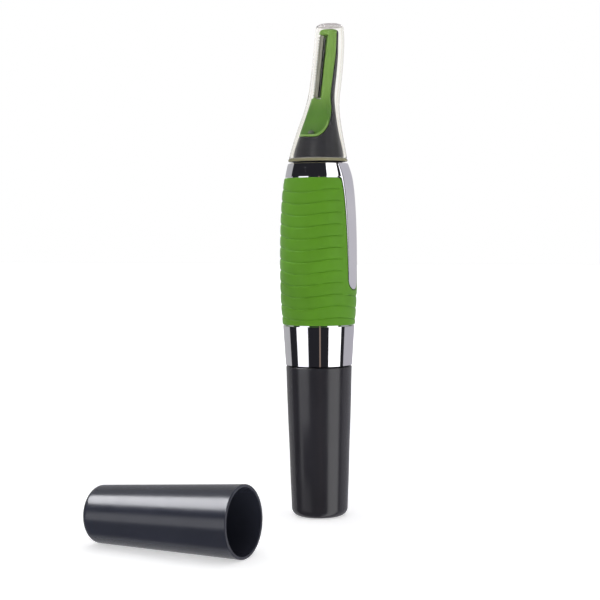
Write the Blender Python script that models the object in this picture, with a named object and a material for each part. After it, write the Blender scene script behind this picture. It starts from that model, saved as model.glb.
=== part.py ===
"""Nose hair trimmer: a pen-shaped trimmer with a clear head guard, and its loose travel cap beside it.

Frame: +Z runs up the trimmer and the origin is the middle of its foot. The blade looks toward -Y, the
scoop with the lamp toward +X, and the clip and the lean of the head are toward +Y. Sizes are in
millimetres, and each mesh is scaled to metres when its object is made.
"""
import math

import bmesh
import bpy
from mathutils import Matrix, Vector

MM = 0.001
GAP = 0.3            # clearance between two pieces that touch in the real thing
STEPS = 40           # facets round the large turned pieces
SMALL_STEPS = 24     # facets round the pieces inside

# Heights of the main joints up the trimmer
BARREL_TOP = 42.75
BAND_BOTTOM = 43.05
TUBE_TOP = 100.0

# Turned radii
TUBE_RADIUS = 8.7    # the tube under the grip
TUBE_BORE = 7.9
COLLAR_BORE = 7.25
BAND_BORE = 8.65
GRIP_BORE = 9.0

# Rubber grip: height and radius
GRIP = [(54.6, 10.3), (56.5, 10.45), (60.0, 10.7), (65.0, 10.9), (72.0, 10.93), (79.0, 10.83), (86.0, 10.58),
        (92.0, 10.12), (95.9, 9.5)]

# Wavy grooves round the grip
GROOVES = 12
FIRST_GROOVE = 56.5
GROOVE_PITCH = 3.25
GROOVE_DEPTH = 0.16
WAVE_HEIGHT = 0.55
WAVES_ROUND = 3
WAVE_CREST = math.radians(53)

# Pocket clip: height and outer radius
CLIP = [(64.6, 10.9), (70.0, 11.0), (79.0, 10.95), (86.0, 10.72), (92.0, 10.3), (96.0, 9.75), (98.2, 9.15),
        (100.0, 8.5)]
CLIP_END = 67.5          # where the clip's round end starts
CLIP_HALF = (2.9, 3.5)   # half widths at its round end and at its top
CLIP_THICK = 0.8
FLARE = 1.5              # rounding where the clip's notch opens at the top of the grip

# Barrel foot: a flat land with a rounded edge
FOOT_RADIUS = 8.0
FOOT_EDGE = 2.2

# Battery: one AAA cell
CELL_RADIUS = 5.25
CELL_BOTTOM = 6.4
CELL_TOP = 49.7

# Motor
CAN_RADIUS = 5.0
CAN_BOTTOM = 61.0
CAN_TOP = 75.0
SHAFT_RADIUS = 0.5
SHAFT_BORE = SHAFT_RADIUS + GAP
CAM_RADIUS = 3.6
CAM_FACE = 82.4
CAM_SLOPE = 0.4 / 3.2   # rise over radius, for a stroke of 0.4 each way at the follower

# The straight line that the cutter slides along
BLADE_TILT = math.radians(6.7)
BLADE_MIDDLE = Vector((1.2, 2.05, 126.9))
ALONG = Vector((0.0, math.sin(BLADE_TILT), math.cos(BLADE_TILT)))
ACROSS = Vector((0.0, math.cos(BLADE_TILT), -math.sin(BLADE_TILT)))
SLOT_LENGTH = 17.9
SLOT_BACK = 1.22
COMB_FACES = (1.75, 2.1)     # inner and outer X of the comb
BLADE_FACES = (1.05, 1.4)
TOOTH_PITCH = 0.8

# What the cutter hangs on, below the blade
ROD_CHANNEL = 1.0        # half width of the channel that the rod and carrier run in
CARRIER_BOTTOM = 113.6
FOLLOWER_BOTTOM = 83.6
FOLLOWER_TOP = 85.9
GUIDE_BOTTOM = 91.9
GUIDE_TOP = 93.7
WIRE_HOLES = [(-4.4, 1.3), (-4.4, -1.3)]

# Lamp at the foot of the scoop
LAMP_PLACE = (4.0, -0.2)
LAMP_RADIUS = 0.9

# Head: height, middle in Y, half width in X, half width in Y, squareness
HEAD = [
    (101.2, 0.12, 7.35, 7.35, 2.0),
    (104.0, 0.30, 6.75, 6.75, 2.0),
    (108.5, 0.55, 5.5, 5.5, 2.0),
    (113.0, 1.05, 4.25, 4.3, 2.1),
    (118.5, 1.75, 3.0, 3.15, 2.4),
    (125.0, 2.55, 2.7, 3.0, 2.6),
    (130.0, 3.10, 2.55, 2.95, 2.6),
    (135.0, 3.55, 2.4, 2.65, 2.6),
    (137.1, 3.68, 2.33, 2.58, 2.6),
]
HEAD_TOP = 137.4
HEAD_STEPS = 32
SPIGOT_RADIUS = 6.9
SPIGOT_BOTTOM = 94.4

# The green insert and its scoop; its back wall slants, so the shell keeps a solid spine
WINDOW_SHEAR = Vector((1.0, 0.5, 0.0))
WINDOW_FLOOR = -0.45
WINDOW_BACK = [(118.5, -0.68), (125.0, -0.5), (130.0, -0.2), (135.0, 0.0), (140.0, 0.1)]   # height, back edge
SCOOP_FACE = 2.75
SCOOP_RIM = 0.75

# Clear guard: the same columns for its outer surface
GUARD = [
    (101.75, 0.06, 8.15, 8.15, 2.0),
    (103.4, 0.17, 7.8, 7.8, 2.0),
    (106.9, 0.42, 6.95, 6.95, 2.0),
    (110.6, 0.78, 6.0, 6.0, 2.0),
    (114.5, 1.30, 4.95, 5.05, 2.0),
    (118.2, 1.90, 4.3, 4.5, 2.1),
    (122.7, 2.60, 4.1, 4.35, 2.2),
    (128.0, 3.25, 3.95, 4.25, 2.3),
    (134.0, 3.78, 3.75, 4.05, 2.4),
    (137.6, 3.88, 3.5, 3.8, 2.4),
]
GUARD_WALL = 0.6
GUARD_TOP = 138.9
LIP_RADIUS = 8.4
LIP_BOTTOM = 100.55
LIP_TOP = 101.3
LIP_WALL = 0.65

# Travel cap, lying on its side
CAP_LENGTH = 44.5
CAP_RIM = 9.3
CAP_END = 7.5
CAP_WALL = 0.8
CAP_EDGE = 2.0
CAP_PLACE = (57.3, -16.3)
CAP_YAW = math.radians(87)


# ---------------------------------------------------------------- tools

def material(name, colour, roughness, metallic=0.0):
    mat = bpy.data.materials.new(name)
    mat.use_nodes = True
    shader = mat.node_tree.nodes["Principled BSDF"]
    shader.inputs["Base Color"].default_value = (*colour, 1.0)
    shader.inputs["Roughness"].default_value = roughness
    shader.inputs["Metallic"].default_value = metallic
    return mat


def make(name, bm, mat):
    """Turn a closed bmesh in millimetres into a smooth-shaded object in metres."""
    bmesh.ops.recalc_face_normals(bm, faces=bm.faces)
    bmesh.ops.scale(bm, vec=(MM, MM, MM), verts=bm.verts)
    mesh = bpy.data.meshes.new(name)
    bm.to_mesh(mesh)
    bm.free()
    if mat:
        mesh.materials.append(mat)
    mesh.shade_smooth()
    mesh.set_sharp_from_angle(angle=math.radians(35))
    obj = bpy.data.objects.new(name, mesh)
    bpy.context.scene.collection.objects.link(obj)
    return obj


def cutter(name, bm):
    """A closed shape that only serves a Boolean."""
    obj = make(name, bm, None)
    obj.hide_render = True
    obj.display_type = "WIRE"
    return obj


def boolean(obj, tool, operation="DIFFERENCE"):
    mod = obj.modifiers.new(tool.name, "BOOLEAN")
    mod.operation = operation
    mod.solver = "EXACT"
    mod.object = tool


def join_rings(bm, lower, upper):
    """Faces between two rings of the same count, either of which may be a single point."""
    count = max(len(lower), len(upper))
    for i in range(count):
        j = (i + 1) % count
        corners = [lower[i % len(lower)], lower[j % len(lower)], upper[j % len(upper)], upper[i % len(upper)]]
        bm.faces.new(list(dict.fromkeys(corners)))


def skin(rings, closed=False):
    """A solid through rings of points: capped at both ends, or joined end to end when closed."""
    bm = bmesh.new()
    loops = [[bm.verts.new(point) for point in ring] for ring in rings]
    for lower, upper in zip(loops, loops[1:]):
        join_rings(bm, lower, upper)
    if closed:
        join_rings(bm, loops[-1], loops[0])
        return bm
    for end in (loops[0], loops[-1]):
        if len(end) > 2:
            bm.faces.new(end)
    return bm


def circle(radius, height, steps, centre=(0.0, 0.0), wave=None):
    """A ring of points; wave adds a height that depends on the angle."""
    if radius == 0:
        return [(centre[0], centre[1], height)]
    ring = []
    for i in range(steps):
        angle = 2 * math.pi * i / steps
        lift = wave(angle) if wave else 0.0
        x, y = centre[0] + radius * math.cos(angle), centre[1] + radius * math.sin(angle)
        ring.append((x, y, height + lift))
    return ring


def lathe(outline, steps=STEPS, centre=(0.0, 0.0)):
    """Turn an outline of (radius, height) points; one that starts and ends on the axis makes a solid."""
    rings = [circle(radius, height, steps, centre) for radius, height in outline]
    return skin(rings, closed=len(rings[0]) > 1)


def sector(outline, start, end, steps):
    """Turn an outline through part of a circle, with a flat face at each end. Angles are in degrees."""
    rings = []
    for i in range(steps + 1):
        angle = math.radians(start + (end - start) * i / steps)
        rings.append([(r * math.cos(angle), r * math.sin(angle), z) for r, z in outline])
    return skin(rings)


def prism(outline, origin, side, up, depth_axis, near, far):
    """A flat outline of (side, up) points, pushed along depth_axis from near to far."""
    def ring(depth):
        return [origin + side * s + up * u + depth_axis * depth for s, u in outline]
    return skin([ring(near), ring(far)])


def block(centre, size):
    bm = bmesh.new()
    bmesh.ops.create_cube(bm, size=1.0)
    bmesh.ops.scale(bm, vec=size, verts=bm.verts)
    bmesh.ops.translate(bm, vec=centre, verts=bm.verts)
    return bm


def rod(start, end, radius, steps=16):
    """A round bar between two points."""
    start, end = Vector(start), Vector(end)
    turn = (end - start).to_track_quat("Z", "Y").to_matrix()
    flat = [Vector(point) for point in circle(radius, 0.0, steps)]
    return skin([[spot + turn @ point for point in flat] for spot in (start, end)])


def tube_along(path, radius, steps=8):
    """A round wire along a list of points, closed with flat ends."""
    rings = []
    spots = [Vector(point) for point in path]
    for i, spot in enumerate(spots):
        ahead = spots[min(i + 1, len(spots) - 1)] - spots[max(i - 1, 0)]
        side = ahead.cross(Vector((0.31, 0.17, 0.93))).normalized()
        other = ahead.cross(side).normalized()
        ring = []
        for k in range(steps):
            angle = 2 * math.pi * k / steps
            ring.append(spot + side * radius * math.cos(angle) + other * radius * math.sin(angle))
        rings.append(ring)
    return skin(rings)


def coil(bottom, top, radius_bottom, radius_top, turns, wire, points_per_turn=12, steps=5):
    """A helical spring between two points, with rings that stay square to the wire."""
    bottom, top = Vector(bottom), Vector(top)
    axis = (top - bottom).normalized()
    side = axis.cross(Vector((1.0, 0.0, 0.0))).normalized()
    other = axis.cross(side)
    rings = []
    count = int(turns * points_per_turn)
    for i in range(count + 1):
        share = i / count
        angle = 2 * math.pi * turns * share
        outward = side * math.cos(angle) + other * math.sin(angle)
        middle = bottom.lerp(top, share) + outward * (radius_bottom + (radius_top - radius_bottom) * share)
        ring = []
        for k in range(steps):
            turn = 2 * math.pi * k / steps
            ring.append(middle + outward * wire * math.cos(turn) + axis * wire * math.sin(turn))
        rings.append(ring)
    return skin(rings)


def arc(centre, radius, start, end, count):
    """Points on an arc of a circle, both ends included. Angles are in degrees."""
    points = []
    for i in range(count + 1):
        angle = math.radians(start + (end - start) * i / count)
        points.append((centre[0] + radius * math.cos(angle), centre[1] + radius * math.sin(angle)))
    return points


def between(stations, height):
    """All columns of a station table at a height, on a smooth curve through the stations."""
    rows = [stations[0]] + list(stations) + [stations[-1]]
    height = min(max(height, stations[0][0]), stations[-1][0])
    i = next(k for k in range(1, len(stations)) if height <= rows[k + 1][0])
    before, low, high, after = rows[i - 1], rows[i], rows[i + 1], rows[i + 2]
    span = high[0] - low[0]
    t = (height - low[0]) / span
    values = []
    for column in range(1, len(low)):
        slope_low = (high[column] - before[column]) / (high[0] - before[0]) * span
        slope_high = (after[column] - low[column]) / (after[0] - low[0]) * span
        value = (2 * t**3 - 3 * t**2 + 1) * low[column] + (t**3 - 2 * t**2 + t) * slope_low
        value += (3 * t**2 - 2 * t**3) * high[column] + (t**3 - t**2) * slope_high
        values.append(value)
    return values


def oval(stations, height, shrink=0.0, steps=32, level=None):
    """A ring of a leaning, slightly squared section, drawn at another level if one is given."""
    middle, half_x, half_y, power = between(stations, height)
    ring = []
    for i in range(steps):
        angle = 2 * math.pi * i / steps
        cos, sin = math.cos(angle), math.sin(angle)
        x = math.copysign(abs(cos) ** (2 / power), cos) * (half_x - shrink)
        y = math.copysign(abs(sin) ** (2 / power), sin) * (half_y - shrink)
        ring.append((x, middle + y, height if level is None else level))
    return ring


def spread(low, high, count):
    return [low + (high - low) * i / count for i in range(count + 1)]


def on_line(height):
    """The point of the cutter's line at a height."""
    return BLADE_MIDDLE + ALONG * ((height - BLADE_MIDDLE.z) / ALONG.z)


def blade_prism(outline, near, far):
    """A shape drawn across and along the blade's line, pushed in X."""
    origin = Vector((0.0, BLADE_MIDDLE.y, BLADE_MIDDLE.z))
    return prism(outline, origin, ACROSS, ALONG, Vector((1.0, 0.0, 0.0)), near, far)


def ring_of(inner, outer, bottom, top):
    """The outline of a plain ring."""
    return [(inner, bottom), (outer, bottom), (outer, top), (inner, top)]


# ---------------------------------------------------------------- head

def head_rings(bottom):
    """Sections of the leaning head, from a height up to its rounded tip."""
    rings = [oval(HEAD, height, steps=HEAD_STEPS) for height in spread(bottom, HEAD[-1][0], 14)]
    rings.append(oval(HEAD, HEAD_TOP, 0.25, HEAD_STEPS, HEAD_TOP - 0.1))
    rings.append(oval(HEAD, HEAD_TOP, 0.7, HEAD_STEPS, HEAD_TOP))
    return rings


def window_outline(offset, top=140.0):
    """Outline of the insert in Y and Z: a straight back edge that curves forward at its foot."""
    heights = [height for height in (top, 135.0, 130.0, 125.0, 118.5) if height <= top]
    outline = []
    for height in heights:
        middle, _, half_y, _ = between(HEAD, height)
        outline.append((middle + 0.92 * half_y + between(WINDOW_BACK, height)[0] + offset, height))
    corner = (-1.5, 115.5)
    for y, z in arc((0.0, 0.0), 1.0, 0, -90, 7):
        outline.append((corner[0] + y * (5.7 + offset), corner[1] + z * (8.3 + offset)))
    outline.append((-9.0, 107.6 - offset))
    outline.append((-9.0, top))
    return outline


def window(offset, near, far, top=140.0):
    return prism(window_outline(offset, top), Vector((0.0, 0.0, 0.0)), Vector((0.0, 1.0, 0.0)),
                 Vector((0.0, 0.0, 1.0)), WINDOW_SHEAR, near, far)


def lamp_hole(bottom, top):
    bore = LAMP_RADIUS + GAP
    return lathe([(0, bottom), (bore, bottom), (bore, top), (0, top)], 16, LAMP_PLACE)


def make_head(black, green):
    rings = [circle(SPIGOT_RADIUS, SPIGOT_BOTTOM, HEAD_STEPS)]
    rings.append(circle(SPIGOT_RADIUS, LIP_BOTTOM, HEAD_STEPS))
    rings.append(circle(HEAD[0][3], LIP_BOTTOM, HEAD_STEPS))
    shell = make("head_shell", skin(rings + head_rings(HEAD[0][0])), black)
    cavity = [(0, 90), (5.9, 90), (5.9, 103), (4.4, 106), (0, 106)]
    boolean(shell, cutter("cut_cavity", lathe(cavity, SMALL_STEPS)))
    boolean(shell, cutter("cut_window", window(GAP / 2, WINDOW_FLOOR - GAP, 12.0)))
    boolean(shell, cutter("cut_rod_channel", rod(on_line(103.0), on_line(110.0), ROD_CHANNEL + 0.2)))
    boolean(shell, cutter("cut_lamp_hole", lamp_hole(100.0, 112.0)))

    holder = make("blade_holder", skin(head_rings(105.0)), green)
    boolean(holder, cutter("cut_insert", window(-GAP / 2, WINDOW_FLOOR, 12.0)), "INTERSECT")
    boolean(holder, cutter("cut_scoop", window(-SCOOP_RIM, SCOOP_FACE, 13.0, 124.0)))
    half = SLOT_LENGTH / 2
    slot = [(-9, -half), (SLOT_BACK, -half), (SLOT_BACK, half), (-9, half)]
    boolean(holder, cutter("cut_slot", blade_prism(slot, 0.0, 9.0)))
    side, top = ROD_CHANNEL, 0.2 - half
    channel = [(-side, -22.0), (side, -22.0), (side, top), (-side, top)]
    boolean(holder, cutter("cut_channel", blade_prism(channel, 0.2, 2.2)))
    boolean(holder, cutter("cut_lamp_seat", lamp_hole(104.0, 113.0)))
    return shell, holder


def toothed(root, tip, back, half):
    """A strip along the blade's line with teeth on its front edge."""
    outline = []
    count = int(2 * half / TOOTH_PITCH)
    first = -count * TOOTH_PITCH / 2
    outline.append((root, -half))
    for i in range(count):
        start = first + i * TOOTH_PITCH + 0.2
        outline += [(root, start), (tip, start + 0.05), (tip, start + 0.35), (root, start + 0.4)]
    outline += [(root, half), (back, half), (back, -half)]
    return outline


def make_cutter(steel, white, spring_steel):
    comb = make("fixed_comb", blade_prism(toothed(-1.2, -1.55, -0.05, 8.65), *COMB_FACES), steel)
    blade = make("moving_blade", blade_prism(toothed(-1.05, -1.4, 0.25, 8.25), *BLADE_FACES), steel)
    bottom = (CARRIER_BOTTOM - BLADE_MIDDLE.z) / ALONG.z
    carrier_outline = [(-0.7, bottom), (0.7, bottom), (0.7, -8.6), (-0.7, -8.6)]
    carrier = make("blade_carrier", blade_prism(carrier_outline, 0.55, 1.4), white)
    shaft = make("drive_rod", rod(on_line(FOLLOWER_TOP + GAP), on_line(CARRIER_BOTTOM - 0.4), 0.5), steel)
    follower = make("cam_follower", rod(on_line(FOLLOWER_BOTTOM), on_line(FOLLOWER_TOP), 1.5), white)
    coil_shape = coil(on_line(86.5), on_line(91.3), 1.15, 1.15, 4, 0.15)
    spring = make("return_spring", coil_shape, spring_steel)

    bow = [(0.3 + 0.15 * (1 - (d / 5) ** 2), d) for d in spread(-5.0, 5.0, 8)]
    leaf = bow + [(x + 0.25, d) for x, d in reversed(bow)]
    origin = Vector((0.0, BLADE_MIDDLE.y, BLADE_MIDDLE.z))
    leaf_shape = prism(leaf, origin, Vector((1.0, 0.0, 0.0)), ALONG, ACROSS, -0.9, 0.1)
    make("blade_spring", leaf_shape, spring_steel)
    return comb, [blade, carrier, shaft, follower, spring]


def make_lamp(clear, board_green, red, black):
    outline = [(0, 102.4), (1.15, 102.4), (1.15, 103.0), (LAMP_RADIUS, 103.0), (LAMP_RADIUS, 108.4)]
    outline += [(0.65, 109.0), (0, 109.3)]
    make("led", lathe(outline, 16, LAMP_PLACE), clear)
    disc = [(0, 101.0), (5.4, 101.0), (5.4, 102.0), (0, 102.0)]
    board = make("led_board", lathe(disc, SMALL_STEPS), board_green)
    hole = on_line(101.5)
    pin = [(0, 100), (ROD_CHANNEL + 0.2, 100), (ROD_CHANNEL + 0.2, 104), (0, 104)]
    boolean(board, cutter("cut_board", lathe(pin, 16, (hole.x, hole.y))))
    for name, side, mat in (("led_wire_red", 1, red), ("led_wire_black", -1, black)):
        route = [(-3.4, 1.7, 56.6), (-4.6, 1.4, 57.3), (-5.5, 1.0, 58.6), (-5.72, 0.9, 60.5)]
        route += [(-5.72, 0.9, 80.0), (-5.2, 1.1, 86.0), (-4.4, 1.3, 91.0), (-4.4, 1.3, 95.0)]
        route += [(-3.8, 1.3, 98.6), (-3.6, 1.3, 100.6)]
        make(name, tube_along([(x, y * side, z) for x, y, z in route], 0.32), mat)


def make_guard(clear):
    tip = GUARD[-1][0]
    wall = GUARD_WALL
    rings = [oval(GUARD, tip, wall + 1.3, level=GUARD_TOP - wall)]
    rings.append(oval(GUARD, tip, wall + 0.5, level=GUARD_TOP - wall - 0.2))
    heights = spread(GUARD[0][0], tip, 9)
    rings += [oval(GUARD, height, wall) for height in reversed(heights)]
    rings += [circle(LIP_RADIUS - LIP_WALL, height, HEAD_STEPS) for height in (LIP_TOP - 0.1, LIP_BOTTOM)]
    rings += [circle(LIP_RADIUS, LIP_BOTTOM, HEAD_STEPS), circle(LIP_RADIUS, LIP_TOP, HEAD_STEPS)]
    rings += [oval(GUARD, height) for height in heights]
    rings.append(oval(GUARD, tip, 0.4, level=GUARD_TOP - 0.4))
    rings.append(oval(GUARD, tip, 1.3, level=GUARD_TOP))
    return make("head_guard", skin(rings), clear)


# ---------------------------------------------------------------- handle

def make_tube(chrome):
    outline = [(9.43, BAND_BOTTOM), (9.76, 48.3), (10.06, 53.0), (10.1, 54.3), (TUBE_RADIUS, 54.3)]
    outline += [(TUBE_RADIUS, 96.2), (9.27, 96.2), (9.07, 97.4), (8.77, 98.8), (8.5, 99.88), (8.3, TUBE_TOP)]
    outline += [(COLLAR_BORE, TUBE_TOP), (COLLAR_BORE, 94.1), (TUBE_BORE, 94.1), (TUBE_BORE, 52.6)]
    outline += [(BAND_BORE, 52.6), (BAND_BORE, BAND_BOTTOM)]
    tube = make("main_tube", lathe(outline), chrome)
    half = CLIP_HALF[1] + GAP
    boolean(tube, cutter("cut_collar", block((0, 9.5, 100), (2 * half, 7, 8.4))))
    return tube


def make_grip(rubber):
    def wave(angle):
        return WAVE_HEIGHT * math.cos(WAVES_ROUND * (angle - WAVE_CREST))

    low, high = GRIP[0][0], GRIP[-1][0]
    foot, top = GRIP[0][1], GRIP[-1][1]
    rings = [circle(GRIP_BORE, low, STEPS), circle(foot - 0.2, low, STEPS)]
    rings.append(circle(foot + 0.08, low + 0.35, STEPS))
    for i in range(GROOVES):
        valley = FIRST_GROOVE + i * GROOVE_PITCH
        crest = valley + GROOVE_PITCH / 2
        rings.append(circle(between(GRIP, valley)[0] - GROOVE_DEPTH, valley, STEPS, wave=wave))
        if i < GROOVES - 1:
            rings.append(circle(between(GRIP, crest)[0], crest, STEPS, wave=wave))
    rings += [circle(top + 0.2, high - 1.2, STEPS), circle(top + 0.05, high - 0.3, STEPS)]
    rings += [circle(top - 0.2, high, STEPS), circle(GRIP_BORE, high, STEPS)]
    grip = make("grip_sleeve", skin(rings, closed=True), rubber)

    half = CLIP_HALF[1] + GAP
    outline = arc((0, CLIP_END), CLIP_HALF[0] + GAP, 180, 360, 8)
    outline += arc((half + FLARE, high - FLARE), FLARE, 180, 90, 3)
    outline += [(half + FLARE, high + 2), (-half - FLARE, high + 2)]
    outline += arc((-half - FLARE, high - FLARE), FLARE, 90, 0, 3)
    side, up, outward = Vector((1, 0, 0)), Vector((0, 0, 1)), Vector((0, 1, 0))
    notch = prism(outline, Vector((0, 0, 0)), side, up, outward, 8.0, 14.0)
    boolean(grip, cutter("cut_notch", notch))
    return grip


def make_clip(chrome):
    """A curved plate that follows the body, round at its lower end."""
    low, high = CLIP[0][0], CLIP[-1][0]
    heights = [low + 0.05, low + 0.5, low + 1.2, CLIP_END - 0.8] + spread(CLIP_END, high, 10)
    rings = []
    for height in heights:
        share = max(0.0, (height - CLIP_END) / (high - CLIP_END))
        half = CLIP_HALF[0] + (CLIP_HALF[1] - CLIP_HALF[0]) * share
        if height < CLIP_END:
            half = math.sqrt(CLIP_HALF[0] ** 2 - (CLIP_END - height) ** 2)
        outer = between(CLIP, height)[0]
        row = spread(-half, half, 6)
        front = [(x, math.sqrt(outer ** 2 - x ** 2), height) for x in row]
        back = [(x, math.sqrt((outer - CLIP_THICK) ** 2 - x ** 2), height) for x in reversed(row)]
        rings.append(front + back)
    return make("clip", skin(rings), chrome)


def make_chassis(white):
    outline = [(1.2, 53.5), (7.5, 53.5), (7.5, 91.6), (6.35, 91.6)]
    outline += [(6.35, 74.4), (5.3, 74.4), (5.3, 72.4), (6.35, 72.4)]
    outline += [(6.35, 63.5), (5.3, 63.5), (5.3, 61.5), (6.35, 61.5), (6.35, 54.7), (1.2, 54.7)]
    make("chassis_right", sector(outline, -88.8, 88.8, 12), white)
    left = make("chassis_left", sector(outline, 91.2, 268.8, 12), white)
    boolean(left, cutter("cut_wire_channel", block((-5.4, 0, 73), (1.8, 2.9, 34))))

    disc = [(0, GUIDE_BOTTOM), (7.5, GUIDE_BOTTOM), (7.5, GUIDE_TOP), (0, GUIDE_TOP)]
    guide = make("rod_guide", lathe(disc, 32), white)
    rod_spot = on_line((GUIDE_BOTTOM + GUIDE_TOP) / 2)
    holes = [((rod_spot.x, rod_spot.y), 1.1)] + [(spot, 0.7) for spot in WIRE_HOLES]
    for i, (spot, radius) in enumerate(holes):
        pin = [(0, GUIDE_BOTTOM - 1), (radius, GUIDE_BOTTOM - 1), (radius, GUIDE_TOP + 1), (0, GUIDE_TOP + 1)]
        boolean(guide, cutter("cut_guide_%d" % (i + 1), lathe(pin, 12, spot)))


# ---------------------------------------------------------------- motor and drive

def make_motor(steel, black, copper, ferrite, brass, white):
    can = [(CAN_RADIUS, CAN_BOTTOM), (CAN_RADIUS, CAN_TOP - 0.4), (CAN_RADIUS - 0.4, CAN_TOP), (1.6, CAN_TOP)]
    can += [(1.6, 76.2), (SHAFT_BORE, 76.2), (SHAFT_BORE, 74.5), (4.5, 74.5), (4.5, CAN_BOTTOM)]
    make("motor_can", lathe(can, SMALL_STEPS), steel)
    make("motor_end_cap", lathe(ring_of(SHAFT_BORE, 4.9, 58.4, 60.7), SMALL_STEPS), black)
    magnet = ring_of(3.6, 4.2, 64.0, 73.0)
    make("motor_magnet_right", sector(magnet, -60, 60, 8), ferrite)
    make("motor_magnet_left", sector(magnet, 120, 240, 8), ferrite)
    for name, side in (("motor_terminal_red", 1), ("motor_terminal_black", -1)):
        make(name, block((-2.6, 1.7 * side, 56.85), (0.4, 1.4, 2.4)), brass)
    armature = make("motor_armature", lathe(ring_of(SHAFT_BORE, 3.2, 64.4, 72.8), SMALL_STEPS), copper)
    commutator = make("motor_commutator", lathe(ring_of(SHAFT_BORE, 1.6, 61.4, 64.0), 16), copper)
    shaft = make("motor_shaft", rod((0, 0, 57.6), (0, 0, 81.4), SHAFT_RADIUS, 12), steel)

    def face(radius):
        def slope(angle):
            return CAM_SLOPE * radius * math.cos(angle)
        return circle(radius, CAM_FACE - 0.2, SMALL_STEPS, wave=slope)

    rings = [circle(SHAFT_BORE, 78.6, SMALL_STEPS), circle(CAM_RADIUS, 78.6, SMALL_STEPS)]
    rings += [face(CAM_RADIUS), face(SHAFT_BORE)]
    cam = make("drive_cam", skin(rings, closed=True), white)
    return [armature, commutator, shaft, cam]


# ---------------------------------------------------------------- barrel, battery and switch

def make_barrel(black, rubber, white, brass, spring_steel):
    outline = [(0, 0)] + arc((FOOT_RADIUS - FOOT_EDGE, FOOT_EDGE), FOOT_EDGE, -90, 0, 5)
    outline += [(8.15, 6.3), (8.35, 11.4), (8.6, 19.9), (8.93, 28.3), (9.2, 36.8), (9.35, BARREL_TOP - 0.2)]
    outline += [(9.15, BARREL_TOP), (7.1, BARREL_TOP), (7.1, 44.2), (6.75, 44.2), (6.75, 45.4), (7.1, 45.4)]
    outline += [(7.1, 50.6), (6.3, 50.6), (6.3, 2.3), (0, 2.3)]
    barrel = make("barrel", lathe(outline), black)
    seal = make("barrel_seal", lathe(arc((7.5, 44.8), 0.45, 0, 300, 5), SMALL_STEPS), rubber)
    sleeve = make("battery_sleeve", sector(ring_of(5.55, 6.0, 3.4, 50.2), 14, 346, 30), white)
    strip = make("contact_strip", sector(ring_of(5.6, 5.95, 3.3, 50.2), -8, 8, 3), brass)
    plate = make("spring_plate", lathe([(0, 2.65), (5.9, 2.65), (5.9, 2.95), (0, 2.95)], SMALL_STEPS), brass)
    spiral = make("battery_spring", coil((0, 0, 3.5), (0, 0, 5.8), 4.2, 2.2, 3, 0.2), spring_steel)
    return [barrel, seal, sleeve, strip, plate, spiral]


def make_battery(label, steel):
    cell = [(0, CELL_BOTTOM), (CELL_RADIUS - 0.35, CELL_BOTTOM), (CELL_RADIUS, CELL_BOTTOM + 0.35)]
    cell += [(CELL_RADIUS, CELL_TOP - 0.35), (CELL_RADIUS - 0.35, CELL_TOP), (0, CELL_TOP)]
    button = [(0, 50.0), (1.9, 50.0), (1.9, 50.7), (1.6, 50.95), (0, 50.95)]
    return [make("battery_cell", lathe(cell, SMALL_STEPS), label),
            make("battery_button", lathe(button, SMALL_STEPS), steel)]


def make_switch(black, brass):
    contact = [(0, 51.3), (0.8, 51.3), (1.2, 51.7), (1.2, 52.6), (3.4, 52.6), (3.4, 53.2), (0, 53.2)]
    make("positive_contact", lathe(contact, SMALL_STEPS), brass)
    make("switch_contact", sector(ring_of(5.4, 7.3, 52.5, 53.2), 100, 140, 5), brass)
    ring = make("switch_ring", lathe(ring_of(7.4, 8.3, 46.2, 51.5)), black)
    wiper = make("switch_wiper", sector(ring_of(6.3, 8.2, 51.8, 52.1), 60, 95, 4), brass)
    return [ring, wiper]


# ---------------------------------------------------------------- travel cap

def make_cap(black):
    """A tapered cup that lies on its side, its outer wall along the floor."""
    def radius(length):
        return CAP_END + (CAP_RIM - CAP_END) * length / CAP_LENGTH

    outline = [(0, 0)] + arc((radius(CAP_EDGE) - CAP_EDGE, CAP_EDGE), CAP_EDGE, -90, 0, 5)
    outline += [(CAP_RIM, CAP_LENGTH), (CAP_RIM - CAP_WALL, CAP_LENGTH)]
    outline += [(radius(CAP_EDGE) - CAP_WALL, CAP_EDGE), (radius(0) - 2 * CAP_WALL, CAP_WALL), (0, CAP_WALL)]
    cap = make("travel_cap", lathe(outline), black)
    taper = math.atan((CAP_RIM - CAP_END) / CAP_LENGTH)
    run = CAP_LENGTH / 2 * math.cos(taper)
    place = Vector((CAP_PLACE[0] - run * math.cos(CAP_YAW), CAP_PLACE[1] - run * math.sin(CAP_YAW),
                    CAP_END * math.cos(taper)))
    cap.location = place * MM
    cap.rotation_euler = (0.0, math.pi / 2 - taper, CAP_YAW)
    return cap


# ---------------------------------------------------------------- assembly

def hang(name, place, pieces):
    """Parent the pieces to an empty on their joint, leaving them where they are."""
    empty = bpy.data.objects.new(name, None)
    empty.location = Vector(place) * MM
    bpy.context.scene.collection.objects.link(empty)
    for piece in pieces:
        piece.parent = empty
        piece.matrix_parent_inverse = Matrix.Translation(-empty.location)


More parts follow.
